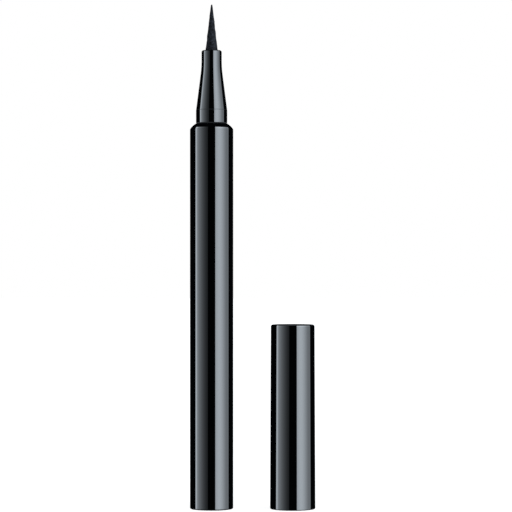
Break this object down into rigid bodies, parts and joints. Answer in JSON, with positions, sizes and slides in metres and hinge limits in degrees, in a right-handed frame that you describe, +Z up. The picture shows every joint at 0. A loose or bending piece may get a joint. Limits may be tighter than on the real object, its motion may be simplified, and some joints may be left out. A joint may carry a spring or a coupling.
{
  "type": "felt-tip liquid eyeliner pen",
  "caption": "Slim gloss-black felt-tip liquid eyeliner pen standing on its tail, with its push-on cap taken off and stood beside it; free-ink tank, finned collector and sprung inner cap inside.",
  "frame": {"origin": "middle of the pen's flat base face, on the surface it stands on", "axes": "+Z up along the pen towards the nib, +X from the pen's axis to the axis of the cap beside it"},
  "size_m": [0.0304, 0.011, 0.1225],
  "materials": {
    "gloss_black": "moulded, high gloss",
    "plug_plastic": "moulded, satin",
    "nib_felt": "ground felt soaked with black liquid",
    "milky_plastic": "moulded, natural",
    "core_fibre": "bonded polyester fibre",
    "seal_rubber": "moulded",
    "ball_steel": "polished stainless steel",
    "liner_plastic": "moulded, satin",
    "inner_cap_plastic": "moulded, natural",
    "spring_steel": "drawn spring wire"
  },
  "bodies": {
    "pen": {"barrel": "gloss_black", "tail_plug": "plug_plastic", "section": "gloss_black", "nib": "nib_felt", "nib_holder": "milky_plastic", "feed_core": "core_fibre", "collector": "milky_plastic", "tank_seal": "seal_rubber"},
    "ball_1": {"mixing_ball_1": "ball_steel"},
    "ball_2": {"mixing_ball_2": "ball_steel"},
    "cap": {"cap_shell": "gloss_black", "cap_liner": "liner_plastic", "cap_spring": "spring_steel"},
    "inner_cap": {"inner_cap": "inner_cap_plastic"}
  },
  "joints": [
    {"name": "cap_lift", "type": "slide", "parent": "pen", "child": "cap", "axis": [0, 0, 1], "range_m": [0, 0.126]},
    {"name": "inner_cap_slide", "type": "slide", "parent": "cap", "child": "inner_cap", "axis": [0, 0, 1], "range_m": [0, 0.0014], "stiffness_N_per_m": 150, "springref_m": -0.002, "deforming": ["cap_spring"]},
    {"name": "ball_1_travel", "type": "slide", "parent": "pen", "child": "ball_1", "axis": [0, 0, 1], "range_m": [0, 0.0416]},
    {"name": "ball_2_travel", "type": "slide", "parent": "pen", "child": "ball_2", "axis": [0, 0, 1], "range_m": [0, 0.0416]}
  ]
}
